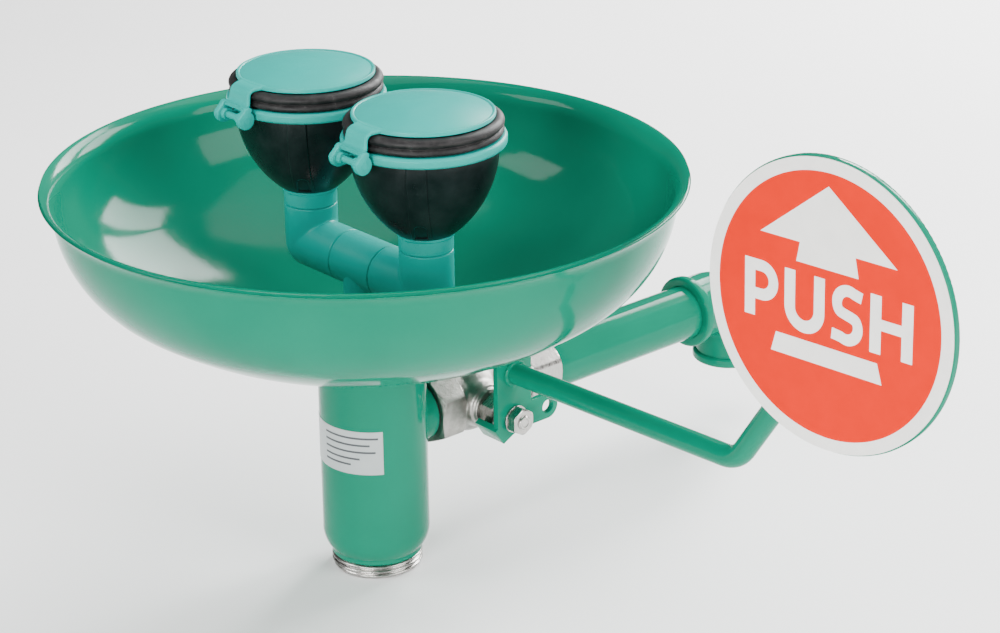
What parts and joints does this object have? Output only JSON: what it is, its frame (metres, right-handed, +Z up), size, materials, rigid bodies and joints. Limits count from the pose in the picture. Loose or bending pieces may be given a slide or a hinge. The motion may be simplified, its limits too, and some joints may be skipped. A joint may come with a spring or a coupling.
{
  "type": "emergency eye wash station",
  "caption": "Emergency eye and face wash: bowl with two capped spray heads, drain body and a push-plate lever ball valve on a side supply.",
  "frame": {"origin": "centre of the drain outlet's lower face, on the bowl's axis", "axes": "+Z up along the bowl's axis, +Y towards the supply elbow, +X to the user's right; the user stands on the -Y side"},
  "size_m": [0.432, 0.3925, 0.2429],
  "materials": {
    "green_paint": "glossy green powder coat",
    "teal_plastic": "satin moulded plastic",
    "black_plastic": "smooth black moulded plastic",
    "black_rubber": "soft dull black rubber",
    "steel": "satin cast and turned stainless steel",
    "brass": "turned",
    "white_ptfe": "smooth",
    "white_label": "printed film",
    "sign_face": "printed self-adhesive film"
  },
  "bodies": {
    "station": {"bowl": "green_paint", "bowl_gasket": "black_rubber", "flange_seal": "black_rubber", "waste_flange": "steel", "strainer": "steel", "strainer_screws": "steel", "riser_grommet": "black_rubber", "drain_body": "green_paint", "outlet_nipple": "steel", "body_label": "white_label", "inner_elbow": "brass", "riser_tube": "brass", "inlet_nipple": "brass", "boss_seal": "black_rubber", "yoke_tee": "teal_plastic", "valve_body": "steel", "valve_end": "steel", "valve_seats": "white_ptfe", "stem_packing": "white_ptfe", "gland_nut": "steel", "pipe_seal": "black_rubber", "supply_pipe": "green_paint", "supply_elbow": "green_paint", "yoke_elbow_left": "teal_plastic", "neck_collar_left": "teal_plastic", "flow_regulator_left": "black_plastic", "cup_left": "black_plastic", "spray_plate_left": "black_plastic", "retaining_ring_left": "teal_plastic", "hinge_pin_left": "teal_plastic", "cuff_left": "black_rubber", "yoke_elbow_right": "teal_plastic", "neck_collar_right": "teal_plastic", "flow_regulator_right": "black_plastic", "cup_right": "black_plastic", "spray_plate_right": "black_plastic", "retaining_ring_right": "teal_plastic", "hinge_pin_right": "teal_plastic", "cuff_right": "black_rubber"},
    "lever": {"valve_ball": "steel", "valve_stem": "steel", "lever_bracket": "green_paint", "lever_rod": "green_paint", "push_plate": "green_paint", "push_sign": "sign_face", "lever_washer": "steel", "lever_nut": "steel"},
    "left_cap": {"cap_left": "teal_plastic", "cap_liner_left": "black_rubber"},
    "right_cap": {"cap_right": "teal_plastic", "cap_liner_right": "black_rubber"}
  },
  "joints": [
    {"name": "lever_turn", "type": "hinge", "parent": "station", "child": "lever", "pos_m": [0, 0.053, 0.0674], "axis": [-1, 0, 0], "range_deg": [0, 90]},
    {"name": "left_cap_hinge", "type": "hinge", "parent": "station", "child": "left_cap", "pos_m": [-0.0405, -0.04, 0.215], "axis": [1, 0, 0], "range_deg": [0, 170]},
    {"name": "right_cap_hinge", "type": "hinge", "parent": "station", "child": "right_cap", "pos_m": [0.0405, -0.04, 0.215], "axis": [1, 0, 0], "range_deg": [0, 170]}
  ]
}
